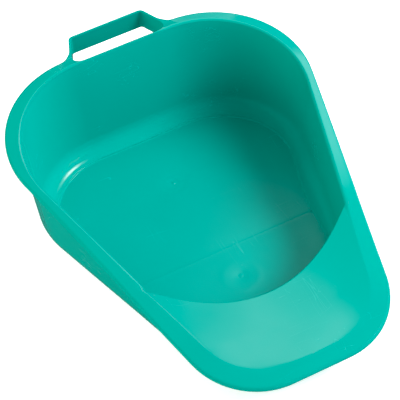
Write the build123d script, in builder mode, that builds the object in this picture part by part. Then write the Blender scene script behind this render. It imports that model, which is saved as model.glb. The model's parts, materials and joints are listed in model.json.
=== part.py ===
"""Slipper bedpan: a one-piece polypropylene moulding, built as its functional zones.

Frame: +Z up, +X to the right, +Y towards the carry handle.  The origin is under the
middle of the overall length, on the surface that the pan stands on.  All sizes are mm.
"""

import os
from math import atan, cos, degrees, radians, sin, sqrt

from build123d import *

# ---- driving dimensions -------------------------------------------------------------
LENGTH = 380.0             # overall, from the toe to the outside of the handle
RIM_TOP = 101.5            # highest line of the rim, at the rear
WALL = 2.4                 # moulded wall thickness
TOE_Y = -LENGTH / 2        # front edge of the seat deck
HANDLE_Y = LENGTH / 2      # outer face of the handle

# Rounded trapezoids: rear edge, half width there, side taper (mm per mm), corner radius.
RIM_REAR, RIM_HALF, RIM_TAPER, RIM_RADIUS = 166.0, 159.5, 0.237, 84.8
CREST_REAR, CREST_HALF, CREST_TAPER, CREST_RADIUS = 154.5, 154.0, 0.276, 83.0
FLOOR_REAR, FLOOR_HALF, FLOOR_TAPER, FLOOR_RADIUS = 131.0, 125.4, 0.260, 63.7
RIM_TOE_RADIUS = 65.0
FLOOR_TOE_Y, FLOOR_TOE_RADIUS = -150.0, 38.0
# The inner wall's outline where it is extended up past the rim, to WALL_TOP_Z.
WALL_TOP_Z = RIM_TOP + 4
WALL_TOP_REAR, WALL_TOP_HALF, WALL_TOP_TAPER = 154.3, 152.9, 0.2607
WALL_TOP_TOE_Y, WALL_TOP_TOE_RADIUS = -175.0, 55.0

RIM_FALL, RIM_FALL_SQUARE = 0.151, 0.00019      # the crest falls towards the toe
FLANGE_FALL = 0.30         # outward fall of the flange, mm per mm
LIP_DROP = 4.5             # depth of the flange's rolled edge
CREST_ROUND = 5.0          # soft inner edge of the rim
WALL_FACE = -1.3           # inner wall face at the rim, measured outwards from the crest

BOTTOM_ROUND = 15.0        # soft inner corner between the walls and the floor
ROUND_REACH = 0.893        # how far that corner reaches over the floor, per mm of radius
CREASE_Y = -20.0           # straight crease between the base and the front floor
CROWN = 2.0                # the floor's inner face is this much higher at the crease

DECK_Y = -67.0             # deck corners, where its arc edge meets the crest
ARC_DEPTH = 36.9           # sagitta of the deck's arc edge
DECK_MID_Z, DECK_MID_FALL = 37.6, 0.04          # centreline height at the arc, and its fall
DISH_END_Y = -171.0        # where the dish has run out into the toe border
SHOULDER = 9.0             # width of the slope from a side ridge down to the dish
SHOULDER_WIDEN = 0.6       # the slope is this share of its width at the deck's start
SHOULDER_LIFT, SHOULDER_EASE = 0.72, 0.45       # height at the slope's foot, as a share
DECK_SECTION_YS = (DECK_Y, -92.0, -120.0, -148.0, DISH_END_Y, TOE_Y - 10)
RIDGE_FALL, RIDGE_EASE = 0.235, 0.000176        # the side ridges fall towards the toe
TOE_FLANGE_FALL = 0.10     # outward fall of the border at the toe

STRAP_TOP, STRAP_HEIGHT, STRAP = 99.5, 19.0, 2.2
STRAP_HALF, STRAP_ROOT_HALF = 35.8, 48.0
STRAP_BEND = 4.0
ROOT_Y, ROOT_TURN = 5.0, 2.5                    # the legs turn square this far behind the crest
ROOT_END = 4.0             # and run this far inside it, into the wall

GATE_YS = (71.4, -52.0)    # gate marks on the floor
GATE_PIP, GATE_RADIUS, GATE_DEPTH = 1.2, 6.0, 0.7

# Cutting blocks and construction profiles run past the moulding by these.
BIG = 400.0
BELOW = -50.0
ABOVE = RIM_TOP + 20
PAST_EDGE = 24.0


# ---- heights and outlines -----------------------------------------------------------
def crest_z(y):
    """Height of the rim's crest at y."""
    run = CREST_REAR - y
    return RIM_TOP - RIM_FALL * run - RIM_FALL_SQUARE * run * run


def crest_half(y):
    """Half width between the crests at y, along the straight sides."""
    return CREST_HALF - CREST_TAPER * (CREST_REAR - y)


def outline(rear, half, taper, radius, toe, toe_radius, inset=0.0):
    """A rounded trapezoid, drawn inset from its nominal edges."""
    side = inset * sqrt(1 + taper * taper)
    rear_half = half - taper * inset - side
    toe_half = half - taper * (rear - toe - inset) - side
    with BuildSketch() as drawn:
        with BuildLine():
            Polyline(
                (-rear_half, rear - inset),
                (rear_half, rear - inset),
                (toe_half, toe + inset),
                (-toe_half, toe + inset),
                close=True,
            )
        make_face()
        fillet(drawn.vertices().group_by(Axis.Y)[-1], radius - inset)
        fillet(drawn.vertices().group_by(Axis.Y)[0], toe_radius - inset)
    return drawn.sketch


def tub_body(inset):
    """The tub as a solid block, inset from its inner face, with a rounded bottom edge."""
    grown = ROUND_REACH * BOTTOM_ROUND
    bottom = WALL + min(inset, 0)
    with BuildPart() as body:
        with BuildSketch(Plane.XY.offset(bottom)):
            add(outline(
                FLOOR_REAR + grown,
                FLOOR_HALF + grown * (sqrt(1 + FLOOR_TAPER**2) + FLOOR_TAPER),
                FLOOR_TAPER,
                FLOOR_RADIUS + grown,
                FLOOR_TOE_Y - grown,
                FLOOR_TOE_RADIUS + grown,
                inset,
            ))
        with BuildSketch(Plane.XY.offset(WALL_TOP_Z)):
            add(outline(
                WALL_TOP_REAR,
                WALL_TOP_HALF,
                WALL_TOP_TAPER,
                CREST_RADIUS,
                WALL_TOP_TOE_Y,
                WALL_TOP_TOE_RADIUS,
                inset,
            ))
        loft(ruled=True)
        fillet(body.faces().sort_by(Axis.Z)[0].edges(), BOTTOM_ROUND - inset)
    return body.part


def side_block(profile):
    """A profile of (y, z) points, extruded across the pan's whole width."""
    with BuildPart() as block:
        with BuildSketch(Plane.YZ):
            with BuildLine():
                Polyline(*profile, close=True)
            make_face()
        extrude(amount=BIG, both=True)
    return block.part


# ---- envelopes that the zones are cut from ------------------------------------------
tub_outer = tub_body(-WALL)
tub_hollow = tub_body(0)

# The floor's inner face is crowned to the crease; its underside is flat.
floor_block = side_block([
    (BIG, BELOW),
    (BIG, WALL),
    (FLOOR_REAR, WALL),
    (CREASE_Y, WALL + CROWN),
    (FLOOR_TOE_Y, WALL),
    (-BIG, WALL),
    (-BIG, BELOW),
])
rear_half_space = side_block([(CREASE_Y, BELOW), (BIG, BELOW), (BIG, BIG), (CREASE_Y, BIG)])
deck_half_space = side_block([(DECK_Y, BELOW), (-BIG, BELOW), (-BIG, BIG), (DECK_Y, BIG)])

with BuildPart() as rim_prism:
    with BuildSketch():
        add(outline(RIM_REAR, RIM_HALF, RIM_TAPER, RIM_RADIUS, TOE_Y, RIM_TOE_RADIUS))
    extrude(amount=ABOVE)

with BuildPart() as rim_inside:
    with BuildSketch():
        add(outline(RIM_REAR, RIM_HALF, RIM_TAPER, RIM_RADIUS, TOE_Y, RIM_TOE_RADIUS, WALL))
    extrude(amount=ABOVE)


# ---- rim flange ---------------------------------------------------------------------
def crest_stations():
    """Points on the right-hand crest with their outward directions, rear to deck corner."""
    lean = atan(CREST_TAPER)
    centre_y = CREST_REAR - CREST_RADIUS
    side_x = CREST_HALF - CREST_TAPER * CREST_RADIUS
    centre_x = side_x - CREST_RADIUS / cos(lean)
    stations = [((0, CREST_REAR), 90), ((centre_x, CREST_REAR), 90)]
    sweep_angle = 90 + degrees(lean)
    arc_steps = 5
    for step in range(1, arc_steps + 1):
        angle = 90 - sweep_angle * step / arc_steps
        x = centre_x + CREST_RADIUS * cos(radians(angle))
        y = centre_y + CREST_RADIUS * sin(radians(angle))
        stations.append(((x, y), angle))
    end_y = stations[-1][0][1]
    for fraction in (0.33, 0.67):
        y = end_y + (DECK_Y - end_y) * fraction
        stations.append(((crest_half(y), y), 90 - sweep_angle * (1 - fraction / 8)))
    stations.append(((crest_half(DECK_Y), DECK_Y), 0))
    return stations


def flange_plane(point, angle):
    """Upright plane across the rim: its x runs outwards and its y runs up."""
    out = Vector(cos(radians(angle)), sin(radians(angle)), 0)
    place = Vector(point[0], point[1], crest_z(point[1]))
    return Plane(origin=place, x_dir=out, z_dir=out.cross(Vector(0, 0, 1)))


def flange_layer(profile):
    """Loft a closed profile of (outwards, upwards) points along the right-hand crest."""
    with BuildPart() as layer:
        for point, angle in crest_stations():
            with BuildSketch(flange_plane(point, angle)):
                with BuildLine():
                    Polyline(*profile, close=True)
                make_face()
        loft()
    return layer.part


# Across the rim: from the inner wall face over the soft crest and out past the rim's edge.
flange_end_z = -PAST_EDGE * FLANGE_FALL
flange_block = flange_layer([
    (WALL_FACE, -1.4 * CREST_ROUND),
    (WALL_FACE + 0.1 * CREST_ROUND, -0.45 * CREST_ROUND),
    (WALL_FACE + 0.44 * CREST_ROUND, -0.1 * CREST_ROUND),
    (CREST_ROUND, 0),
    (PAST_EDGE, flange_end_z),
    (PAST_EDGE, flange_end_z - LIP_DROP),
    (CREST_ROUND, -1.1 * LIP_DROP),
])
flange_recess = flange_layer([
    (WALL_FACE + WALL, -1.4 * CREST_ROUND),
    (CREST_ROUND, -WALL),
    (PAST_EDGE + WALL, flange_end_z - WALL * FLANGE_FALL - WALL),
    (PAST_EDGE + WALL, -4 * CREST_ROUND),
    (WALL_FACE + WALL, -4 * CREST_ROUND),
])

# Everything under the seam where the wall hands over to the rim's soft inner edge.
with BuildPart() as below_crest:
    seam = [(y, crest_z(y) - CREST_ROUND) for y in range(-120, 201, 40)]
    with BuildSketch(Plane.YZ):
        with BuildLine():
            Spline(*seam)
            Polyline(seam[0], (seam[0][0], BELOW), (seam[-1][0], BELOW), seam[-1])
        make_face()
    extrude(amount=BIG, both=True)


# ---- seat deck ----------------------------------------------------------------------
def ridge_z(y):
    """Height of the deck's side ridges, which carry the crest on towards the toe."""
    run = DECK_Y - y
    return crest_z(DECK_Y) - RIDGE_FALL * run + RIDGE_EASE * run * run


def dish_z(y):
    """Height of the deck on its centreline."""
    if y < DISH_END_Y:
        return ridge_z(y) + 0.5
    return DECK_MID_Z + DECK_MID_FALL * (y - DECK_Y + ARC_DEPTH)


def deck_layer(low, high):
    """The layer between two vertical offsets of the deck's top surface."""
    with BuildPart() as layer:
        for y in DECK_SECTION_YS:
            progress = (DECK_Y - y) / (DECK_Y - TOE_Y)
            ridge = crest_half(y)
            edge = ridge + PAST_EDGE
            fall = FLANGE_FALL + (TOE_FLANGE_FALL - FLANGE_FALL) * progress
            edge_z = ridge_z(y) - PAST_EDGE * fall
            shoulder = ridge - SHOULDER * (SHOULDER_WIDEN + progress)
            lift_share = SHOULDER_LIFT - SHOULDER_EASE * progress
            shoulder_z = dish_z(y) + (ridge_z(y) - dish_z(y)) * lift_share
            with BuildSketch(Plane(origin=(0, y, 0), x_dir=(1, 0, 0), z_dir=(0, -1, 0))):
                with BuildLine():
                    for lift in (low, high):
                        Spline(
                            (-ridge, ridge_z(y) + lift),
                            (-shoulder, shoulder_z + lift),
                            (0, dish_z(y) + lift),
                            (shoulder, shoulder_z + lift),
                            (ridge, ridge_z(y) + lift),
                        )
                        for side in (-1, 1):
                            Line((side * ridge, ridge_z(y) + lift), (side * edge, edge_z + lift))
                    for side in (-1, 1):
                        Line((side * edge, edge_z + low), (side * edge, edge_z + high))
                make_face()
        loft()
    return layer.part


deck_slab = deck_layer(-WALL, 0)
deck_edge = deck_layer(-LIP_DROP, 0)
above_front_wall = deck_layer(-WALL, RIM_TOP)

with BuildPart() as seat_opening:
    half = crest_half(DECK_Y) + WALL_FACE
    with BuildSketch():
        with BuildLine():
            ThreePointArc((-half, DECK_Y), (0, DECK_Y - ARC_DEPTH), (half, DECK_Y))
            Polyline((half, DECK_Y), (half, BIG), (-half, BIG), (-half, DECK_Y))
        make_face()
    extrude(amount=ABOVE)

with BuildPart() as deck_lip:
    add(deck_edge)
    add(rim_prism.part, mode=Mode.INTERSECT)
    add(rim_inside.part, mode=Mode.SUBTRACT)
with BuildPart() as seat_deck:
    add(deck_slab)
    add(rim_prism.part, mode=Mode.INTERSECT)
    add(seat_opening.part, mode=Mode.SUBTRACT)
    add(deck_lip.part)

# ---- walls and floor ----------------------------------------------------------------
with BuildPart() as shell:
    add(tub_outer)
    add(tub_hollow, mode=Mode.SUBTRACT)
    add(floor_block, mode=Mode.SUBTRACT)

with BuildPart() as bowl_wall:
    add(shell.part)
    add(deck_half_space, mode=Mode.SUBTRACT)
    add(below_crest.part, mode=Mode.INTERSECT)

with BuildPart() as front_wall:
    add(shell.part)
    add(deck_half_space, mode=Mode.INTERSECT)
    add(above_front_wall, mode=Mode.SUBTRACT)


def floor_z(y):
    """Height of the floor's inner face."""
    end = FLOOR_REAR if y > CREASE_Y else FLOOR_TOE_Y
    return WALL + CROWN * (end - y) / (end - CREASE_Y)


def gate_mark(y):
    """A shallow dimple to sink into the floor's inner face at y."""
    with BuildPart(Plane.XY.offset(floor_z(y))) as mark:
        with Locations((0, y, -GATE_DEPTH / 2)):
            Cone(GATE_PIP, GATE_RADIUS, GATE_DEPTH)
    return mark.part


with BuildPart() as base_panel:
    add(tub_outer)
    add(floor_block, mode=Mode.INTERSECT)
    add(rear_half_space, mode=Mode.INTERSECT)
    add(gate_mark(GATE_YS[0]), mode=Mode.SUBTRACT)

with BuildPart() as front_floor:
    add(tub_outer)
    add(floor_block, mode=Mode.INTERSECT)
    add(rear_half_space, mode=Mode.SUBTRACT)
    add(gate_mark(GATE_YS[1]), mode=Mode.SUBTRACT)

# ---- carry handle -------------------------------------------------------------------
strap_y = HANDLE_Y - STRAP / 2
leg_turn_x = STRAP_ROOT_HALF - 1
leg_end_x = leg_turn_x + ROOT_TURN
with BuildPart() as carry_handle:
    with BuildSketch(Plane.XY.offset(STRAP_TOP - STRAP_HEIGHT)):
        with BuildLine():
            FilletPolyline(
                (-leg_end_x, CREST_REAR - ROOT_END),
                (-leg_turn_x, CREST_REAR + ROOT_Y),
                (-STRAP_HALF + STRAP / 2, strap_y),
                (STRAP_HALF - STRAP / 2, strap_y),
                (leg_turn_x, CREST_REAR + ROOT_Y),
                (leg_end_x, CREST_REAR - ROOT_END),
                radius=STRAP_BEND,
            )
        trace(line_width=STRAP)
    extrude(amount=STRAP_HEIGHT)
    add(tub_outer, mode=Mode.SUBTRACT)

with BuildPart() as finger_gap:
    with BuildSketch():
        with BuildLine():
            Polyline(
                (-STRAP_ROOT_HALF, CREST_REAR),
                (-STRAP_HALF + STRAP / 2, strap_y),
                (STRAP_HALF - STRAP / 2, strap_y),
                (STRAP_ROOT_HALF, CREST_REAR),
                close=True,
            )
        make_face()
    extrude(amount=ABOVE)
    add(tub_outer, mode=Mode.SUBTRACT)

with BuildPart() as rim_underside:
    add(flange_recess)
    add(rim_inside.part, mode=Mode.INTERSECT)
with BuildPart() as rim_right:
    add(flange_block)
    add(rim_prism.part, mode=Mode.INTERSECT)
    add(rim_underside.part, mode=Mode.SUBTRACT)
    add(tub_hollow, mode=Mode.SUBTRACT)
    add(bowl_wall.part, mode=Mode.SUBTRACT)
    add(finger_gap.part, mode=Mode.SUBTRACT)
    add(carry_handle.part, mode=Mode.SUBTRACT)
with BuildPart() as rim_left:
    add(mirror(rim_right.part, about=Plane.YZ))

# ---- write the zones ----------------------------------------------------------------
zones = {
    "base_panel": base_panel,
    "front_floor": front_floor,
    "bowl_wall": bowl_wall,
    "front_wall": front_wall,
    "rim_left": rim_left,
    "rim_right": rim_right,
    "seat_deck": seat_deck,
    "carry_handle": carry_handle,
}
os.makedirs("parts", exist_ok=True)
for zone_name, zone in zones.items():
    zone.part.label = zone_name
    print(zone_name, len(zone.part.solids()), round(zone.part.volume))
    export_step(zone.part, f"parts/{zone_name}.step")
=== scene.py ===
"""Looks for the slipper bedpan: one glossy polypropylene moulding, shown as its zones.

The whole skin is worked out from the moulding's driving sizes, in millimetres, in the
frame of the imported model: +Z up, +Y towards the handle, standing on z = 0.  Only the right
half is drawn; the left half is its mirror image.
"""

import json
from math import acos, atan, atan2, ceil, cos, exp, hypot, pi, radians, sin, sqrt, tan

import bmesh
import bpy
import numpy as np
from mathutils import Matrix, Vector
from mathutils.geometry import delaunay_2d_cdt

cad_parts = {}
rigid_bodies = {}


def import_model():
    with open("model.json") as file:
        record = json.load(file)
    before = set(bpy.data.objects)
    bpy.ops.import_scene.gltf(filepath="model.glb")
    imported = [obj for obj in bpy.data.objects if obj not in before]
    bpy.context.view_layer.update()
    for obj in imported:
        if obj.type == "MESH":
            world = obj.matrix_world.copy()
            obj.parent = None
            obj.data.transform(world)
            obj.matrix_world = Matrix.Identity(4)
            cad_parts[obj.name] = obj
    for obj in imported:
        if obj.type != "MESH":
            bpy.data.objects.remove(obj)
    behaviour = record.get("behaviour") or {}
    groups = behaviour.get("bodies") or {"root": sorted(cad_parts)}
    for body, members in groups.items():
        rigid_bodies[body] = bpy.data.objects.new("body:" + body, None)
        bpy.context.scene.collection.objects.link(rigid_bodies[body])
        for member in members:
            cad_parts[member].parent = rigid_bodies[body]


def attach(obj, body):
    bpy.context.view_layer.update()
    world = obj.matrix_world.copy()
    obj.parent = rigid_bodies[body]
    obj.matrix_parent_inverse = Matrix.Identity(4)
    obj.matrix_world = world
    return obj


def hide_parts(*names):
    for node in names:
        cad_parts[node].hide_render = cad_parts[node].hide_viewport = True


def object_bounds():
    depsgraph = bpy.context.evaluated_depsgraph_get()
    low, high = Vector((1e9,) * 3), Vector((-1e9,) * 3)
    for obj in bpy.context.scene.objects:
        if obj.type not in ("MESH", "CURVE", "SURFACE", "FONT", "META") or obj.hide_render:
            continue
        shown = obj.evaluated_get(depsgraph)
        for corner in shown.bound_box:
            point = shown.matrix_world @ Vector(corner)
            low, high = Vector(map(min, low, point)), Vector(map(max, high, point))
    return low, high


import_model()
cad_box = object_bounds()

# ---- driving sizes, mm ---------------------------------------------------------------
cad_low, cad_high = cad_box
TOE_Y = cad_low[1] * 1000
HANDLE_Y = cad_high[1] * 1000
RIM_TOP = 101.5
WALL = 2.4

# Rounded trapezoids: rear edge, half width there, side taper, corner radius, toe, toe radius.
RIM = (166.0, 159.5, 0.233, 84.8, TOE_Y + 2.5, 65.0)
CREST = (154.5, 154.0, 0.276, 83.0, -175.0, 55.0)
FLOOR = (131.0, 125.4, 0.260, 63.7, -150.0, 38.0)
DISH = (-27.0, 101.7, 0.257, 1.0, -176.0, 62.0)

RIM_FALL, RIM_FALL_SQUARE = 0.151, 0.00019
FLANGE_FALL = 0.28
CREST_ROUND = 2.4
WALL_TOP_INSET = 1.3
ROLL_ROUND = 3.0
LIP_DROP = 4.0
LIP_ROUND = 0.7

BOTTOM_ROUND = 15.0
CREASE_Y = -20.0
CROWN = 2.0

# The small step round the floor, and the flat ring inside it that keeps its shading even.
STEP, STEP_RUN = 0.4, 0.6
STEP_INSET, FLAT_RING = 0.3, 0.5

DECK_Y = -67.0
ARC_DEPTH = 36.9
NOSE = 1.1
ARC_CORNER = 1.2
# The arc's free edge is deeper and sharper for a short run from its ends.
CORNER_RUN, CORNER_DEPTH, CORNER_ROUND = 9, 4.6, 0.6
DECK_EDGE_Z, DECK_EDGE_FALL, DECK_EDGE_CURVE = 55.6, 0.245, 0.000365
TOE_FALL, TOE_FALL_RUN = 0.22, 123.0
DECK_BLEND_YS = (DECK_Y + 12, DECK_Y - 2)
DECK_MID_Z, DECK_MID_FALL = 37.6, 0.04
DISH_BLEND = 2.2
DISH_RISE_LIMIT = 1.8
RIDGE_ROUND = 1.0
BANK_WIDTH, BANK_WIDENING = 0.8, 0.11
BANK_DROP = 1.3
BANK_RISE = 0.2
BANK_FADE_YS = (-148.0, -92.0)

STRAP_TOP, STRAP_HEIGHT, STRAP = 99.5, 19.0, 2.2
STRAP_HALF, STRAP_ROOT_HALF = 35.8, 47.0
STRAP_ROOT_Y = CREST[0] + 5
STRAP_BEND, STRAP_EDGE = 4.0, 0.8
STRAP_TOP_ROUND = 0.6
ROOT_OUTER, ROOT_INNER = 13.0, 8.0
# Distances from the handle's middle line over which the top and the underside change to the rim's.
TOP_BLEND, UNDER_BLEND = (9.0, 1.5), (6.5, 1.4)
GAP_ROUND, GAP_BLEND = 1.0, 12

# Each gate mark is a sum of bells: height, width, and distance of the crown from the gate.
GATE_YS = (71.4, -52.0)
REAR_GATE_BELLS = ((0.5, 1.4, 0.0), (-0.35, 5.0, 0.0))
FRONT_GATE_BELLS = ((0.45, 1.3, 0.0), (-0.55, 6.0, 0.0), (0.10, 3.0, 15.0))
REAR_GATE_SINK, REAR_GATE_RING = 0.10, (13.0, 10.0)
CREASE_RIDGE, CREASE_RIDGE_WIDTH = 0.07, 0.7

FILLET_REACH = 0.893      # where the wall's fillet meets the floor, in fillet radii
ROUND_REACH = 1.19        # how far a rounded crest reaches back from its corner, in radii
WALL_SINK = 1.2           # how far the front wall's top is sunk into the deck
SLOPE_RUN = 3             # how far inward the rim's slope is measured
WELD = 5e-6               # metres; closer points of the skin are one point
LARGEST_HOLE = 30         # edges; smaller holes in the skin are filled


# ---- small geometry helpers ----------------------------------------------------------
def smooth(low, high, value):
    """0 below low, 1 above high, and an S-curve between them."""
    t = min(1.0, max(0.0, (value - low) / (high - low)))
    return t * t * (3 - 2 * t)


def blend(a, b, t):
    """From a at 0 to b at 1."""
    return a + (b - a) * t


def lower(a, b, width):
    """The lower of two heights, rounded over where they cross."""
    gap = max(width - abs(a - b), 0.0) / width
    return min(a, b) - gap * gap * width / 4


def rounded(points, radii, arc_steps, run_steps):
    """A 2-D path through points with its corners rounded, in a fixed number of steps."""
    points = [np.array(p, float) for p in points]
    path = [points[0]]
    for corner, (radius, turns, runs) in enumerate(zip(radii, arc_steps, run_steps), 1):
        to_last = points[corner - 1] - points[corner]
        to_next = points[corner + 1] - points[corner]
        to_last /= np.linalg.norm(to_last)
        to_next /= np.linalg.norm(to_next)
        half = acos(max(-1, min(1, float(to_last @ to_next)))) / 2
        swing = pi - 2 * half
        reach = max(radius / tan(half), 0.01)
        start = points[corner] + to_last * reach
        end = points[corner] + to_next * reach
        last = path[-1]
        path += [blend(last, start, step / runs) for step in range(1, runs + 1)]
        if swing < 0.01:
            path += [blend(start, end, step / turns) for step in range(1, turns + 1)]
            continue
        middle = to_last + to_next
        centre = points[corner] + middle / np.linalg.norm(middle) * radius / sin(half)
        for step in range(1, turns + 1):
            t = step / turns
            across = (start - centre) * sin((1 - t) * swing) + (end - centre) * sin(t * swing)
            path.append(centre + across / sin(swing))
    last = path[-1]
    runs = run_steps[len(radii)]
    path += [blend(last, points[-1], step / runs) for step in range(1, runs + 1)]
    return np.array(path)


def plan_path(points, radii, spacing):
    """A plan path with rounded corners, as evenly spaced points and left-hand normals."""
    arcs = []
    runs = []
    last = np.array(points[0], float)
    for corner, radius in enumerate(radii, 1):
        here = np.array(points[corner], float)
        to_last = np.array(points[corner - 1], float) - here
        to_next = np.array(points[corner + 1], float) - here
        cosine = float(to_last @ to_next) / np.linalg.norm(to_last) / np.linalg.norm(to_next)
        half = acos(cosine) / 2
        reach = radius / tan(half)
        start = here + to_last / np.linalg.norm(to_last) * reach
        runs.append(max(1, ceil(np.linalg.norm(start - last) / spacing)))
        arcs.append(max(4, ceil(radius * (pi - 2 * half) / min(spacing, 0.25 * radius))))
        last = here + to_next / np.linalg.norm(to_next) * reach
    runs.append(max(1, ceil(np.linalg.norm(np.array(points[-1], float) - last) / spacing)))
    path = rounded(points, radii, arcs, runs)
    return path, left_normals(path)


def left_normals(path):
    """Unit normals to the left of a plan path."""
    along = np.gradient(path, axis=0)
    normals = np.stack([-along[:, 1], along[:, 0]], axis=1)
    return normals / np.linalg.norm(normals, axis=1, keepdims=True)


def trapezoid(shape):
    """Lean, side line and the two corner centres of a rounded trapezoid."""
    rear, half, taper, radius, toe, toe_radius = shape
    lean = atan(taper)

    def side_x(y):
        return half - taper * (rear - y)

    rear_centre = (side_x(rear - radius) - radius / cos(lean), rear - radius)
    toe_centre = (side_x(toe + toe_radius) - toe_radius / cos(lean), toe + toe_radius)
    return lean, side_x, rear_centre, toe_centre


def half_outline(shape, inset, fractions):
    """The right half of a rounded trapezoid, sampled at fractions of its five stretches."""
    rear, _, _, radius, toe, toe_radius = shape
    lean, _, rear_centre, toe_centre = trapezoid(shape)
    r_rear = radius - inset
    r_toe = toe_radius - inset
    side_normal = np.array([cos(lean), -sin(lean)])
    side_start = np.array(rear_centre) + r_rear * side_normal
    side_end = np.array(toe_centre) + r_toe * side_normal
    points = []
    normals = []
    for stretch, ts in enumerate(fractions):
        for t in ts:
            if stretch == 0:
                point = (rear_centre[0] * t, rear - inset)
                normal = (0.0, 1.0)
            elif stretch == 2:
                point = blend(side_start, side_end, t)
                normal = side_normal
            elif stretch == 4:
                point = (toe_centre[0] * (1 - t), toe + inset)
                normal = (0.0, -1.0)
            else:
                centre, r = ((rear_centre, r_rear), (toe_centre, r_toe))[stretch // 3]
                first, last = ((pi / 2, -lean), (-lean, -pi / 2))[stretch // 3]
                angle = blend(first, last, t)
                normal = (cos(angle), sin(angle))
                point = (centre[0] + r * normal[0], centre[1] + r * normal[1])
            points.append(point)
            normals.append(normal)
    return np.array(points, float), np.array(normals, float)


def outline_distance(shape, x, y):
    """Distance outside a rounded trapezoid, and the y of its nearest point."""
    rear, _, _, radius, toe, toe_radius = shape
    lean, side_x, rear_centre, toe_centre = trapezoid(shape)
    x = abs(x)
    for centre, r, first, last in (
        (rear_centre, radius, -lean, pi / 2),
        (toe_centre, toe_radius, -pi / 2, -lean),
    ):
        angle = atan2(y - centre[1], x - centre[0])
        if x >= centre[0] and first <= angle <= last:
            return hypot(x - centre[0], y - centre[1]) - r, centre[1] + r * sin(angle)
    if x < rear_centre[0] and y > rear_centre[1]:
        return y - rear, rear
    if x < toe_centre[0] and y < toe_centre[1]:
        return toe - y, toe
    away = (x - side_x(y)) * cos(lean)
    return away, y + away * sin(lean)


# ---- heights -------------------------------------------------------------------------
def crest_z(y):
    """Height of the wall's crest, falling ever faster towards the toe."""
    run = CREST[0] - y
    return RIM_TOP - RIM_FALL * run - RIM_FALL_SQUARE * run * run


def crest_half(y):
    """Half width across the crest's straight sides."""
    return CREST[1] - CREST[2] * (CREST[0] - y)


def bell(distance, width):
    """1 at no distance, falling smoothly to 0."""
    return exp(-((distance / width) ** 2))


def floor_z(x, y):
    """The floor's inner face: crowned to the crease, with two gate marks."""
    end = FLOOR[0] if y > CREASE_Y else FLOOR[4]
    z = WALL + CROWN * (end - y) / (end - CREASE_Y)
    z += CREASE_RIDGE * bell(y - CREASE_Y, CREASE_RIDGE_WIDTH)
    for gate_y, bells in zip(GATE_YS, (REAR_GATE_BELLS, FRONT_GATE_BELLS)):
        from_gate = hypot(x, y - gate_y)
        z += sum(height * bell(from_gate - ring, width) for height, width, ring in bells)
    return z - REAR_GATE_SINK * smooth(*REAR_GATE_RING, hypot(x, y - GATE_YS[0]))


def handle_distance(x, y):
    """Distance from the middle line of the strap handle."""
    x = abs(x)
    strap_y = HANDLE_Y - STRAP / 2
    corner = (STRAP_HALF - STRAP / 2, strap_y)
    root = (STRAP_ROOT_HALF, STRAP_ROOT_Y)
    along = (root[0] - corner[0], root[1] - corner[1])
    length = hypot(*along)
    t = ((x - corner[0]) * along[0] + (y - corner[1]) * along[1]) / length**2
    to_leg = hypot(x - corner[0] - along[0] * max(t, 0), y - corner[1] - along[1] * max(t, 0))
    to_bar = hypot(max(x - corner[0], 0), y - strap_y)
    return min(to_leg, to_bar)


def deck_fall(run):
    """How steeply the deck's border falls outward, by distance from the deck's start."""
    return blend(FLANGE_FALL, TOE_FALL, min(1, max(0, run) / TOE_FALL_RUN))


def border_z(x, y):
    """The deck's border: up from the rolled edge to the ridge, then down its inner bank."""
    outside, edge_y = outline_distance(RIM, x, y)
    run = DECK_Y - edge_y
    fall = deck_fall(run)
    edge_z = DECK_EDGE_Z - DECK_EDGE_FALL * run + DECK_EDGE_CURVE * run**2
    past_ridge = -outline_distance(CREST, x, y)[0]
    bank_width = BANK_WIDTH + BANK_WIDENING * max(0, DECK_Y - y)
    bank = fall - blend(BANK_RISE, -BANK_DROP / bank_width, smooth(*BANK_FADE_YS, y))
    return edge_z - fall * outside - bank * (past_ridge + hypot(past_ridge, RIDGE_ROUND)) / 2


def dish_half(y):
    """Half width of the dish: straight sides, then round the toe."""
    _, side_x, _, centre = trapezoid(DISH)
    drop = centre[1] - y
    if drop < DISH[5] * sin(atan(DISH[2])):
        return side_x(y)
    return centre[0] + sqrt(max(DISH[5] ** 2 - drop**2, 1.0))


def deck_z(x, y):
    """The seat deck: a dish between banked ridges, inside its border."""
    half = dish_half(y)
    mid = DECK_MID_Z + DECK_MID_FALL * (y - DECK_Y + ARC_DEPTH)
    dish = mid + (border_z(half, y) - mid) * min(DISH_RISE_LIMIT, (x / half) ** 2)
    inside = -outline_distance(DISH, x, y)[0]
    return blend(border_z(x, y), dish, smooth(-DISH_BLEND, DISH_BLEND, inside))


def top_z(x, y):
    """Height of the upper face of the rim, the deck and the handle."""
    away, crest_y = outline_distance(CREST, x, y)
    rim = crest_z(crest_y) - FLANGE_FALL * away
    if y > CREST[0]:
        near_handle = smooth(*TOP_BLEND, handle_distance(x, y))
        return blend(rim, -lower(-rim, -STRAP_TOP, STRAP_TOP_ROUND), near_handle)
    if y > DECK_BLEND_YS[0]:
        return rim
    return blend(rim, deck_z(x, y), smooth(*DECK_BLEND_YS, y))


def strap_share(x, y):
    """1 on the strap handle, 0 away from it."""
    return smooth(*UNDER_BLEND, handle_distance(x, y)) if y > CREST[0] - 1 else 0.0


def under_z(x, y):
    """Height of the underside of the rim, the deck and the handle."""
    return blend(top_z(x, y) - WALL, STRAP_TOP - STRAP_HEIGHT, strap_share(x, y))


# ---- collecting faces ----------------------------------------------------------------
faces_by_zone = {}
BOWL_MIDDLE = np.array([0.0, 30.0, 60.0])
GAP_MIDDLE = np.array([0.0, 171.0, 88.0])
UP = np.array([0.0, 0.0, 1.0])


def always(zone):
    """A zone_of for faces that all belong to one zone."""
    return lambda centre: zone


# The ways that faces can look, from their centre.
def into_bowl(centre):
    return BOWL_MIDDLE - centre


def out_of_bowl(centre):
    return centre - BOWL_MIDDLE


def into_gap(centre):
    return GAP_MIDDLE - centre


def upward(centre):
    return UP


def downward(centre):
    return -UP


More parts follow.
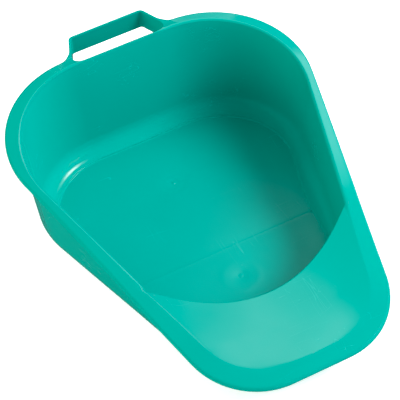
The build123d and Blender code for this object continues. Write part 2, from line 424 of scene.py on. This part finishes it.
def add_quads(grid, zone_of, toward):
    """A grid of points as quads that face the way toward(centre) points, on average."""
    corners = np.stack([grid[:-1, :-1], grid[1:, :-1], grid[1:, 1:], grid[:-1, 1:]], axis=2)
    add_faces(corners.reshape(-1, 4, 3), zone_of, toward)


def add_faces(corners, zone_of, toward):
    """Faces of the right half with their mirror images, sorted into zones."""
    centres = corners.mean(axis=1)
    normals = np.cross(corners[:, 2] - corners[:, 0], corners[:, -1] - corners[:, 1])
    facing = sum(float(n @ toward(c)) for n, c in zip(normals, centres))
    if facing < 0:
        corners = corners[:, ::-1]
    mirrored = corners[:, ::-1] * np.array([-1.0, 1.0, 1.0])
    for face, other, centre in zip(corners, mirrored, centres):
        zone = zone_of(centre)
        twin = zone.replace("right", "left")
        faces_by_zone.setdefault(zone, []).append(face)
        faces_by_zone.setdefault(twin, []).append(other)


def inside_loop(loop, points):
    """Which of the points lie inside a closed plan loop."""
    after = np.roll(loop, -1, axis=0)
    inside = np.zeros(len(points), bool)
    for (x0, y0), (x1, y1) in zip(loop, after):
        if y0 != y1:
            crosses = (y0 > points[:, 1]) != (y1 > points[:, 1])
            inside ^= crosses & (points[:, 0] < x0 + (points[:, 1] - y0) * (x1 - x0) / (y1 - y0))
    return inside


def loop_distance(loop, points):
    """Distance of each point from a closed plan loop."""
    a = loop
    b = np.roll(loop, -1, axis=0)
    along = b - a
    length = (along**2).sum(axis=1)
    length[length == 0] = 1
    nearest = np.full(len(points), 1e9)
    for start, run, size in zip(a, along, length):
        t = np.clip(((points - start) @ run) / size, 0, 1)
        gap = np.hypot(*(points - start - t[:, None] * run).T)
        nearest = np.minimum(nearest, gap)
    return nearest


def with_centre_points(loop, spacing):
    """The closed loop with extra points wherever it runs along the middle line."""
    points = []
    for here, after in zip(loop, np.roll(loop, -1, axis=0)):
        points.append(here)
        if abs(here[0]) < 1e-6 and abs(after[0]) < 1e-6:
            steps = max(1, round(abs(after[1] - here[1]) / spacing))
            points += [blend(np.array(here), np.array(after), i / steps) for i in range(1, steps)]
    return np.array(points)


def triangles(loop, inner, clearance):
    """Delaunay triangles of a plan region, as triples of plan points."""
    loop = with_centre_points(loop, 1.0)
    inner = inner[inside_loop(loop, inner)]
    inner = inner[loop_distance(loop, inner) > clearance]
    verts = [Vector(p) for p in np.concatenate([loop, inner])]
    count = len(loop)
    edges = [(i, (i + 1) % count) for i in range(count)]
    made, _, tris, *_ = delaunay_2d_cdt(verts, edges, [], 0, 1e-5)
    made = np.array([tuple(v) for v in made])
    tris = np.array([tuple(t) for t in tris])
    return made[tris][inside_loop(loop, made[tris].mean(axis=1))]


def hex_points(low, high, spacing):
    """Staggered grid points over a plan rectangle."""
    rows = np.arange(low[1], high[1], spacing * sqrt(3) / 2)
    return np.array([
        (x + spacing / 2 * (row % 2), y)
        for row, y in enumerate(rows)
        for x in np.arange(low[0], high[0], spacing)
    ])


# ---- the walls, from the crest down to the floor -------------------------------------
def even(count, first=False):
    """Fractions up to 1 in equal steps, with 0 only when it is asked for."""
    return [i / count for i in range(0 if first else 1, count + 1)]


lean, _, crest_centre, _ = trapezoid(CREST)
side_top_y = crest_centre[1] - CREST[3] * sin(lean)
side_end_y = CREST[4] + CREST[5] - CREST[5] * sin(lean)
deck_fraction = (side_top_y - DECK_Y) / (side_top_y - side_end_y)
WALL_FACE = WALL + 0.05
wall_face_y = CREST[0] - WALL_TOP_INSET + WALL_FACE
leg_slope = (STRAP_ROOT_HALF - STRAP_HALF + STRAP / 2) / (HANDLE_Y - STRAP / 2 - STRAP_ROOT_Y)
leg_shift = STRAP / 2 * hypot(1, leg_slope)


def leg_x(y, side):
    """Where a leg's inner (-1), middle (0) or outer (1) face is at y."""
    return STRAP_ROOT_HALF - leg_slope * (y - STRAP_ROOT_Y) + side * leg_shift


gap_corner_x = leg_x(wall_face_y, -1)
gap_end_x = gap_corner_x - ROOT_INNER / tan((pi / 2 - atan(leg_slope)) / 2)
gap_fraction = gap_end_x / crest_centre[0]

gap_steps, root_steps, corner_steps, side_steps = 14, 3, 56, 40
fractions = [
    [gap_fraction * t for t in even(gap_steps, True)]
    + [gap_fraction + (1 - gap_fraction) * t for t in even(root_steps)],
    even(corner_steps),
    [deck_fraction * t for t in even(side_steps)]
    + [deck_fraction + (1 - deck_fraction) * t for t in even(20)],
    even(24),
    even(8),
]
gap_count = gap_steps + 1
ring_count = gap_count + root_steps + corner_steps + side_steps
tops, outs = half_outline(CREST, WALL_TOP_INSET, fractions)
GROWN = FILLET_REACH * BOTTOM_ROUND
foot_shape = (
    FLOOR[0] + GROWN,
    FLOOR[1] + GROWN * (hypot(1, FLOOR[2]) + FLOOR[2]),
    FLOOR[2],
    FLOOR[3] + GROWN,
    FLOOR[4] - GROWN,
    FLOOR[5] + GROWN,
)
feet, _ = half_outline(foot_shape, 0, fractions)


def wall_column(index):
    """The inner and the outer skin of the wall at one station, as two 3-D paths."""
    top = tops[index]
    out = outs[index]
    foot = feet[index]
    inward = (foot - top) / np.linalg.norm(foot - top)
    depth = np.linalg.norm(foot - top)
    ring = index < ring_count
    in_gap = index < gap_count
    sink = 0 if ring else WALL_SINK
    high = top_z(*top) - sink
    past_gap = smooth(gap_end_x, gap_end_x + GAP_BLEND, top[0])
    turn = blend(GAP_ROUND, CREST_ROUND, past_gap) if ring else 0.3
    reach = ROUND_REACH * turn
    start_z = top_z(*(top + out * reach)) - sink
    floor = floor_z(*(foot + inward * GROWN))
    step_start = GROWN + STEP_INSET
    step_end = step_start + STEP_RUN
    floor_edge = floor_z(*(foot + inward * (step_end + FLAT_RING)))
    inner = rounded(
        [
            (reach, start_z),
            (0, high),
            (-depth, floor + STEP),
            (-depth - step_start, floor + STEP),
            (-depth - step_end, floor_edge),
            (-depth - step_end - FLAT_RING, floor_edge),
        ],
        [turn, BOTTOM_ROUND, 0.2, 0.2],
        [10, 16, 2, 2],
        [1, 10, 1, 1, 1],
    )
    if in_gap:
        start, edge = WALL_FACE - 0.76, GAP_ROUND
        start_high, corner_high = (top_z(*(top + out * away)) for away in (start, WALL_FACE))
    elif ring:
        start, edge = reach, 0.5
        start_high, corner_high = (under_z(*(top + out * away)) for away in (start, WALL_FACE))
    else:
        start, edge = WALL_FACE - 1, 0.5
        start_high, corner_high = high, high
    outer = rounded(
        [
            (start, start_high),
            (WALL_FACE, corner_high),
            (WALL_FACE - depth - 0.2, 0),
            (WALL_FACE - depth - FILLET_REACH * (BOTTOM_ROUND + WALL) - 1, 0),
        ],
        [edge, BOTTOM_ROUND + WALL],
        [6, 14],
        [1, 10, 1],
    )
    skins = []
    for path in (inner, outer):
        plan = np.where(path[:, :1] > 0, top + out * path[:, :1], top - inward * path[:, :1])
        skins.append(np.column_stack([plan, path[:, 1]]))
    return skins


columns = [wall_column(index) for index in range(len(tops))]
inner_skin = np.array([c[0] for c in columns])
outer_skin = np.array([c[1] for c in columns])
CREST_ROWS = 11  # rows of the inner skin that belong to the rounded crest

add_quads(inner_skin[:ring_count, : CREST_ROWS + 1], always("rim_right"), into_bowl)
add_quads(inner_skin[:ring_count, CREST_ROWS:], always("bowl_wall"), into_bowl)
add_quads(inner_skin[ring_count - 1 :, CREST_ROWS:], always("front_wall"), into_bowl)
add_quads(outer_skin[:ring_count], always("bowl_wall"), out_of_bowl)
add_quads(outer_skin[ring_count - 1 :], always("front_wall"), out_of_bowl)
front_top = [inner_skin[ring_count - 1 :, CREST_ROWS], outer_skin[ring_count - 1 :, 0]]
add_quads(np.stack(front_top, axis=1), always("front_wall"), upward)

# ---- floor and underside -------------------------------------------------------------
floor_loop = np.concatenate([inner_skin[:, -1, :2], [(0.0, CREASE_Y)]])
crossing = int(np.argmax(floor_loop[:-1, 1] < CREASE_Y))
(x_before, y_before), (x_after, y_after) = floor_loop[crossing - 1], floor_loop[crossing]
edge_x = blend(x_before, x_after, (y_before - CREASE_Y) / (y_before - y_after))
floor_loop = np.insert(floor_loop, crossing, (edge_x, CREASE_Y), axis=0)
# Extra points where the floor bends: at the crease, on the middle line and round the gate marks.
floor_points = [hex_points((3, -160), (140, 135), 5.0)]
for offset in (-2.5, -1.2, -0.6, -0.3, 0, 0.3, 0.6, 1.2, 2.5):
    floor_points.append(np.array([(x, CREASE_Y + offset) for x in np.arange(0, edge_x - 1, 3)]))
for y in np.arange(-155, 130, 3.0):
    floor_points.append(np.array([(0.0, y)]))
for gate_y in GATE_YS:
    for radius in (0, 0.5, 1, 1.5, 2, 3, 4, 5, 6, 7.5, 9, 10.5, 12, 13.5, 15, 16.5, 18, 20):
        ring = [(radius * sin(a), gate_y + radius * cos(a)) for a in np.linspace(0, pi, 25)]
        floor_points.append(np.array(ring))
floor_points = np.concatenate(floor_points)
tris = triangles(floor_loop, floor_points, 0.5)
floor_faces = np.array([[(x, y, floor_z(x, y)) for x, y in tri] for tri in tris])


def floor_zone(centre):
    """The floor is divided at the crease."""
    return "base_panel" if centre[1] > CREASE_Y else "front_floor"


add_faces(floor_faces, floor_zone, upward)

base_loop = outer_skin[:, -1, :2]
base_points = hex_points((5, -160), (140, 135), 12.0)
tris = triangles(base_loop, base_points, 2.0)
base_faces = np.array([[(x, y, 0.0) for x, y in tri] for tri in tris])
add_faces(base_faces, floor_zone, downward)

# ---- outer edge of the rim, the deck and the handle ----------------------------------
_, rim_side, _, _ = trapezoid(RIM)
outer_edge, outer_normals = plan_path(
    [
        (0, HANDLE_Y),
        (leg_x(HANDLE_Y, 1), HANDLE_Y),
        (leg_x(RIM[0], 1), RIM[0]),
        (rim_side(RIM[0]), RIM[0]),
        (rim_side(RIM[4]), RIM[4]),
        (0, RIM[4]),
    ],
    [STRAP_BEND + STRAP / 2, ROOT_OUTER, RIM[3], RIM[5]],
    2.4,
)
strap_in = HANDLE_Y - STRAP
gap_edge, gap_normals = plan_path(
    [
        (0, strap_in),
        (leg_x(strap_in, -1), strap_in),
        (gap_corner_x, wall_face_y),
        (gap_end_x, wall_face_y),
    ],
    [STRAP_BEND - STRAP / 2, ROOT_INNER - 0.01],
    2.0,
)
gap_normals = -gap_normals


def edge_column(point, normal, in_gap=False):
    """The rim's rolled edge or the strap's flat one at a point, from its top to its underside."""
    strapness = strap_share(*point)
    radius = blend(GAP_ROUND if in_gap else ROLL_ROUND, STRAP_EDGE, strapness)
    high = top_z(*point)
    fall = (top_z(*(point - SLOPE_RUN * normal)) - high) / SLOPE_RUN * (1 - strapness)
    reach = radius * (1 - sin(atan(fall)))
    start = point - normal * reach
    start_z = top_z(*start)
    low = blend(high - LIP_DROP, STRAP_TOP - STRAP_HEIGHT, 1 if in_gap else strapness)
    path = rounded(
        [
            (-reach, start_z),
            (0, start_z - fall * reach),
            (0, low),
            (-min(WALL, reach - 0.05), low),
            (-reach, under_z(*start)),
        ],
        [radius * 0.98, min(LIP_ROUND, reach * 0.8), 0.02],
        [8, 4, 2],
        [1, 2, 1, 1],
    )
    plan = point + normal * path[:, :1]
    return np.column_stack([plan, path[:, 1]])


def edge_zone(centre):
    """The handle's strap, the right flange or the deck."""
    if centre[1] > CREST[0] and handle_distance(centre[0], centre[1]) < 6:
        return "carry_handle"
    return "rim_right" if centre[1] > DECK_Y else "seat_deck"


outer_skirt = np.array([edge_column(p, n) for p, n in zip(outer_edge, outer_normals)])
gap_skirt = np.array([edge_column(p, n, in_gap=True) for p, n in zip(gap_edge, gap_normals)])
add_quads(outer_skirt, edge_zone, out_of_bowl)
add_quads(gap_skirt, edge_zone, into_gap)

# ---- arc edge of the deck ------------------------------------------------------------
deck_corner, corner_out = tops[ring_count - 1], outs[ring_count - 1]
corner_centre = deck_corner - ARC_CORNER * corner_out
first_turn = atan2(-corner_out[1], -corner_out[0])
if first_turn < 0:
    first_turn += 2 * pi
last_turn = pi / 2 + atan(2 * ARC_DEPTH / deck_corner[0])
turn_angles = np.linspace(first_turn, last_turn, 9)
corner_normals = np.column_stack([np.cos(turn_angles), np.sin(turn_angles)])
corner_path = corner_centre - ARC_CORNER * corner_normals
arc_half, arc_y = corner_path[-1]
arc_depth = ARC_DEPTH + arc_y - DECK_Y
arc_x = arc_half * np.sin(np.linspace(pi / 2, 0, 45))[1:]
arc = np.column_stack([arc_x, arc_y - arc_depth * (1 - (arc_x / arc_half) ** 2)])
arc_slope = 2 * arc_depth * arc_x / arc_half**2
arc_normals = np.column_stack([-arc_slope, np.ones_like(arc_x)]) / np.hypot(1, arc_slope)[:, None]
arc = np.concatenate([corner_path, arc])
arc_normals = np.concatenate([corner_normals, arc_normals])


def nose_column(point, normal):
    """The rounded free edge of the deck at one point, from its top to its underside."""
    away = smooth(0, CORNER_RUN, hypot(*(point - deck_corner)))
    radius = blend(CREST_ROUND, NOSE, away)
    reach = ROUND_REACH * radius
    start = point - normal * reach
    start_z = top_z(*start)
    high = start_z + (top_z(*point) - top_z(*(start - normal))) / (reach + 1) * reach
    path = rounded(
        [
            (-reach, start_z),
            (0, high),
            (0, high - blend(CORNER_DEPTH, WALL, away)),
            (-reach, start_z - WALL),
        ],
        [radius, blend(CORNER_ROUND, NOSE, away)],
        [10, 6],
        [1, 1, 1],
    )
    return np.column_stack([point + normal * path[:, :1], path[:, 1]])


arc_skirt = np.array([nose_column(p, n) for p, n in zip(arc, arc_normals)])
arc_skirt[0, : CREST_ROWS + 1] = inner_skin[ring_count - 1, : CREST_ROWS + 1]
add_quads(arc_skirt, always("seat_deck"), into_bowl)

# ---- upper face and its underside ----------------------------------------------------
crest_line = inner_skin[:ring_count, 0, :2]
gap_line = outer_skin[:gap_count, 0, :2]
top_loop = np.concatenate([
    crest_line,
    arc_skirt[1:, 0, :2],
    outer_skirt[::-1, 0, :2],
    gap_skirt[:-1, 0, :2],
    gap_line[::-1],
])
# Extra points where the top bends: along the ridge, on the middle line and round the handle.
top_points = [hex_points((1.5, -190), (170, 190), 3.0)]
for offset in (-3, -2, -1.2, -0.6, 0, 0.6, 1.2, 2, 3, 4.2, 5.6, 7.2):
    rows = np.arange(DECK_Y - 1, -165, -2.4)
    top_points.append(np.array([(crest_half(y) - offset / cos(lean), y) for y in rows]))
for y in np.arange(TOE_Y + 4, DECK_Y - ARC_DEPTH - 2, 3.0):
    top_points.append(np.array([(0.0, y)]))
top_points.append(hex_points((25, 150), (62, 190), 1.2))
tris = triangles(top_loop, np.concatenate(top_points), 0.45)
top_faces = np.array([[(x, y, top_z(x, y)) for x, y in tri] for tri in tris])


def has_underside(tri):
    """Everywhere but on the wall's own top, behind the finger gap."""
    x, y = tri.mean(axis=0)
    return not (x <= gap_end_x and wall_face_y - 1.5 <= y <= wall_face_y + 2)


under_tris = [tri for tri in tris if has_underside(tri)]
under_faces = np.array([[(x, y, under_z(x, y)) for x, y in tri] for tri in under_tris])
add_faces(top_faces, edge_zone, upward)
add_faces(under_faces, edge_zone, downward)


# ---- one skin, split into zones ------------------------------------------------------
def whole_skin():
    """Points, faces, zone of each face and smooth point normals of the whole moulding."""
    names = sorted(faces_by_zone)
    points = []
    faces = []
    zones = []
    for number, zone in enumerate(names):
        for corners in faces_by_zone[zone]:
            faces.append(range(len(points), len(points) + len(corners)))
            points.extend(corners)
            zones.append(number)
    mesh = bpy.data.meshes.new("whole_skin")
    mesh.from_pydata((np.array(points) * 0.001).tolist(), [], faces)
    skin = bmesh.new()
    skin.from_mesh(mesh)
    bpy.data.meshes.remove(mesh)
    layer = skin.faces.layers.int.new("zone")
    for face, zone in zip(skin.faces, zones):
        face[layer] = zone
    bmesh.ops.remove_doubles(skin, verts=skin.verts, dist=WELD)
    open_edges = [edge for edge in skin.edges if edge.is_boundary]
    filled = bmesh.ops.holes_fill(skin, edges=open_edges, sides=LARGEST_HOLE)["faces"]
    for face in filled:
        beside = face.loops[0].link_loop_radial_next
        face[layer] = beside.face[layer]
        if beside.vert == face.loops[0].vert:
            face.normal_flip()
    bmesh.ops.triangulate(skin, faces=filled)
    skin.normal_update()
    skin.verts.index_update()
    points = np.array([tuple(v.co) for v in skin.verts])
    normals = np.array([tuple(v.normal) for v in skin.verts])
    faces = [tuple(v.index for v in face.verts) for face in skin.faces]
    zones = [names[face[layer]] for face in skin.faces]
    skin.free()
    return points, faces, zones, normals


def make_zones(material):
    """One object for each zone of the moulding, shaded as one unbroken skin."""
    points, faces, zones, normals = whole_skin()
    for zone in sorted(set(zones)):
        own = [face for face, name in zip(faces, zones) if name == zone]
        used = sorted({i for face in own for i in face})
        place = {old: new for new, old in enumerate(used)}
        mesh = bpy.data.meshes.new(zone + "_skin")
        mesh.from_pydata(points[used].tolist(), [], [[place[i] for i in face] for face in own])
        mesh.materials.append(material)
        mesh.shade_smooth()
        mesh.normals_split_custom_set_from_vertices(normals[used].tolist())
        piece = bpy.data.objects.new(zone + "_skin", mesh)
        bpy.context.scene.collection.objects.link(piece)
        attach(piece, "root")
        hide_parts(zone)


# ---- materials -----------------------------------------------------------------------
DARK_TEAL = (0.0, 0.262, 0.222, 1)
LIGHT_TEAL = (0.0, 0.280, 0.240, 1)
WORN_TEAL = (0.03, 0.36, 0.32, 1)
POLYPROPYLENE_IOR = 1.49


def polypropylene():
    """Glossy dyed polypropylene with faint flow clouds, fine grain, dull patches and scratches."""
    material = bpy.data.materials.new("teal_polypropylene")
    material.use_nodes = True
    tree = material.node_tree
    shader = tree.nodes["Principled BSDF"]
    place = tree.nodes.new("ShaderNodeTexCoord").outputs["Object"]
    link = tree.links.new

    def noise(scale, detail, distortion=0.0, stretch=(1, 1, 1), turn=0.0):
        mapping = tree.nodes.new("ShaderNodeMapping")
        mapping.inputs["Scale"].default_value = stretch
        mapping.inputs["Rotation"].default_value = (0, 0, radians(turn))
        texture = tree.nodes.new("ShaderNodeTexNoise")
        texture.inputs["Scale"].default_value = scale
        texture.inputs["Detail"].default_value = detail
        texture.inputs["Distortion"].default_value = distortion
        link(place, mapping.inputs["Vector"])
        link(mapping.outputs["Vector"], texture.inputs["Vector"])
        return texture.outputs["Fac"]

    def ranged(value, from_low, from_high, to_low, to_high):
        node = tree.nodes.new("ShaderNodeMapRange")
        node.interpolation_type = "SMOOTHSTEP"
        node.inputs["From Min"].default_value = from_low
        node.inputs["From Max"].default_value = from_high
        node.inputs["To Min"].default_value = to_low
        node.inputs["To Max"].default_value = to_high
        link(value, node.inputs["Value"])
        return node.outputs["Result"]

    def combined(operation, first, second):
        node = tree.nodes.new("ShaderNodeMath")
        node.operation = operation
        for socket, value in zip(node.inputs, (first, second)):
            if isinstance(value, float):
                socket.default_value = value
            else:
                link(value, socket)
        return node.outputs[0]

    def hairline(stretch, turn):
        """Thin broken lines where a stretched noise passes its middle value."""
        past_middle = combined("SUBTRACT", noise(90.0, 2.0, 0.3, stretch, turn), 0.5)
        return ranged(combined("ABSOLUTE", past_middle, 0.0), 0.0, 0.006, 1.0, 0.0)

    scratched = combined("MAXIMUM", hairline((1, 0.08, 1), 24.0), hairline((0.1, 1, 1), 51.0))
    where_worn = ranged(noise(22.0, 3.0), 0.52, 0.68, 0.0, 1.0)
    scratches = combined("MULTIPLY", scratched, where_worn)

    tint = tree.nodes.new("ShaderNodeValToRGB")
    tint.color_ramp.elements[0].position = 0.3
    tint.color_ramp.elements[0].color = DARK_TEAL
    tint.color_ramp.elements[1].position = 0.7
    tint.color_ramp.elements[1].color = LIGHT_TEAL
    link(noise(9.0, 3.0), tint.inputs["Fac"])
    worn = tree.nodes.new("ShaderNodeMix")
    worn.data_type = "RGBA"
    worn.inputs["B"].default_value = WORN_TEAL
    link(combined("MULTIPLY", scratches, 0.35), worn.inputs["Factor"])
    link(tint.outputs["Color"], worn.inputs["A"])
    link(worn.outputs["Result"], shader.inputs["Base Color"])

    dull = ranged(noise(60.0, 6.0, 0.6), 0.35, 0.75, 0.13, 0.19)
    link(combined("ADD", dull, combined("MULTIPLY", scratches, 0.2)), shader.inputs["Roughness"])

    bump = tree.nodes.new("ShaderNodeBump")
    bump.inputs["Strength"].default_value = 0.06
    bump.inputs["Distance"].default_value = 0.0002
    link(combined("SUBTRACT", noise(900.0, 2.0), scratches), bump.inputs["Height"])
    link(bump.outputs["Normal"], shader.inputs["Normal"])
    shader.inputs["IOR"].default_value = POLYPROPYLENE_IOR
    return material


make_zones(polypropylene())


# ---- stage ---------------------------------------------------------------------------
# In metres, from here on.
STAGE_Z = -0.0002
STAGE_REACH = 6.0
SOFTBOX_DISTANCE = 2.0
SOFTBOX_AIM = (0, 0, 0.04)
CAMERA_ANGLES = (-23.908, 47.6, -5.136)  # azimuth, elevation and roll, in degrees
CAMERA_DISTANCE = 1.5397
CAMERA_AIM = (-0.008, 0.0003, 0.0525)
CAMERA_LENS = 166.6
RED_BLACK_LEVEL = 0.02
WORLD_SHARES = (("Is Camera Ray", 1.0), ("Is Diffuse Ray", 0.48), ("Is Glossy Ray", 0.10))
RIMS = ("rim_left", "rim_right")
BOWL = ("bowl_wall", "base_panel", "front_floor")
MIRRORING = ("base_panel", "bowl_wall", "seat_deck", "rim_left", "rim_right")


def studio_floor():
    """A plain white floor, a hair below the pan's base, that doesn't show in the gloss."""
    mesh = bpy.data.meshes.new("studio_floor")
    signs = ((-1, -1), (1, -1), (1, 1), (-1, 1))
    corners = [(x * STAGE_REACH, y * STAGE_REACH, STAGE_Z) for x, y in signs]
    mesh.from_pydata(corners, [], [(0, 1, 2, 3)])
    floor = bpy.data.objects.new("studio_floor", mesh)
    bpy.context.scene.collection.objects.link(floor)
    paint = bpy.data.materials.new("studio_floor_paint")
    paint.use_nodes = True
    shader = paint.node_tree.nodes["Principled BSDF"]
    shader.inputs["Base Color"].default_value = (0.9, 0.9, 0.9, 1)
    shader.inputs["Roughness"].default_value = 0.9
    shader.inputs["Emission Color"].default_value = (1, 1, 1, 1)
    shader.inputs["Emission Strength"].default_value = 0.5
    mesh.materials.append(paint)
    floor.visible_glossy = False


def softbox(name, azimuth, elevation, wide, high, brightness, mirrored=False, only=(), blue=1.0):
    """A softbox placed by compass angle from +Y towards +X and sized by half angles, in degrees.

    A mirrored one shows in reflections; only limits it to some zones; blue is its share of blue.
    """
    light = bpy.data.lights.new(name, "AREA")
    light.shape = "RECTANGLE"
    light.size = 2 * SOFTBOX_DISTANCE * tan(radians(wide))
    light.size_y = 2 * SOFTBOX_DISTANCE * tan(radians(high))
    light.energy = brightness * pi * light.size * light.size_y
    light.color = (1.0, 1.0, blue)
    lamp = bpy.data.objects.new(name, light)
    lamp.visible_glossy = mirrored
    a, e = radians(azimuth), radians(elevation)
    offset = Vector((sin(a) * cos(e), cos(a) * cos(e), sin(e)))
    lamp.location = Vector(SOFTBOX_AIM) + offset * SOFTBOX_DISTANCE
    lamp.rotation_euler = offset.to_track_quat("Z", "Y").to_euler()
    bpy.context.scene.collection.objects.link(lamp)
    if only:
        lit = bpy.data.collections.new(name + "_receivers")
        for zone in only:
            lit.objects.link(bpy.data.objects[zone + "_skin"])
        lamp.light_linking.receiver_collection = lit


def main_camera():
    """The camera stands over the toe's left side, slightly rolled, and looks down."""
    azimuth, elevation, roll = (radians(angle) for angle in CAMERA_ANGLES)
    back = Vector((sin(azimuth) * cos(elevation), -cos(azimuth) * cos(elevation), sin(elevation)))
    level = Vector((cos(azimuth), sin(azimuth), 0))
    rise = back.cross(level)
    right = level * cos(roll) + rise * sin(roll)
    up = rise * cos(roll) - level * sin(roll)
    camera = bpy.data.cameras.new("main_camera")
    camera.lens = CAMERA_LENS
    camera.clip_end = 50
    holder = bpy.data.objects.new("main_camera", camera)
    place = Vector(CAMERA_AIM) + back * CAMERA_DISTANCE
    turned = Matrix((right, up, back)).transposed().to_4x4()
    holder.matrix_world = Matrix.Translation(place) @ turned
    bpy.context.scene.collection.objects.link(holder)
    bpy.context.scene.camera = holder


def studio_world():
    """A white room: bright to the camera, softer as fill light, dim in reflections."""
    world = bpy.data.worlds.new("studio")
    world.use_nodes = True
    tree = world.node_tree
    background = tree.nodes["Background"]
    background.inputs["Color"].default_value = (1, 1, 1, 1)
    ray = tree.nodes.new("ShaderNodeLightPath")
    total = None
    for kind, share in WORLD_SHARES:
        part = tree.nodes.new("ShaderNodeMath")
        part.operation = "MULTIPLY_ADD"
        part.inputs[1].default_value = share
        tree.links.new(ray.outputs[kind], part.inputs[0])
        if total is None:
            part.inputs[2].default_value = 0.0
        else:
            tree.links.new(total, part.inputs[2])
        total = part.outputs[0]
    tree.links.new(total, background.inputs["Strength"])
    bpy.context.scene.world = world


def display_look():
    """Plain display transform, with the red channel's black point raised a little."""
    view = bpy.context.scene.view_settings
    view.view_transform = "Standard"
    view.use_curve_mapping = True
    view.curve_mapping.black_level = (RED_BLACK_LEVEL, 0, 0)
    view.curve_mapping.update()


studio_floor()
# Azimuth, elevation, half width and half height in degrees, then brightness.
softbox("key_softbox", 112, 42, 22, 11, 16.8)
softbox("inner_softbox", 140, 36, 14, 8, 8.0, only=BOWL)
softbox("left_fill", -75, 20, 26, 10, 7.5, blue=0.8)
softbox("high_fill", -120, 62, 20, 20, 0.9, blue=0.8)
softbox("rear_fill", -35, 20, 20, 10, 1.6, blue=0.7)
softbox("side_softbox_wide", 42, 55, 14, 14, 0.35, mirrored=True)
softbox("side_softbox_middle", 44, 58, 12, 10, 0.7, mirrored=True, only=MIRRORING)
softbox("side_softbox_core", 48, 60, 7, 7, 0.9, mirrored=True, only=MIRRORING)
softbox("front_softbox", 46, 58, 9, 9, 0.5, mirrored=True, only=("front_floor",))
softbox("deck_softbox", 40, 38, 10, 6, 0.9, mirrored=True, only=("seat_deck",))
softbox("rim_softbox", 66, 40, 8, 14, 2.5, mirrored=True, only=RIMS)
softbox("rear_rim_softbox", 22, 20, 12, 7, 1.4, mirrored=True, only=RIMS)
softbox("glint_softbox", 72, 60, 7, 5, 16.0, mirrored=True, only=("bowl_wall",))
studio_world()
main_camera()
display_look()
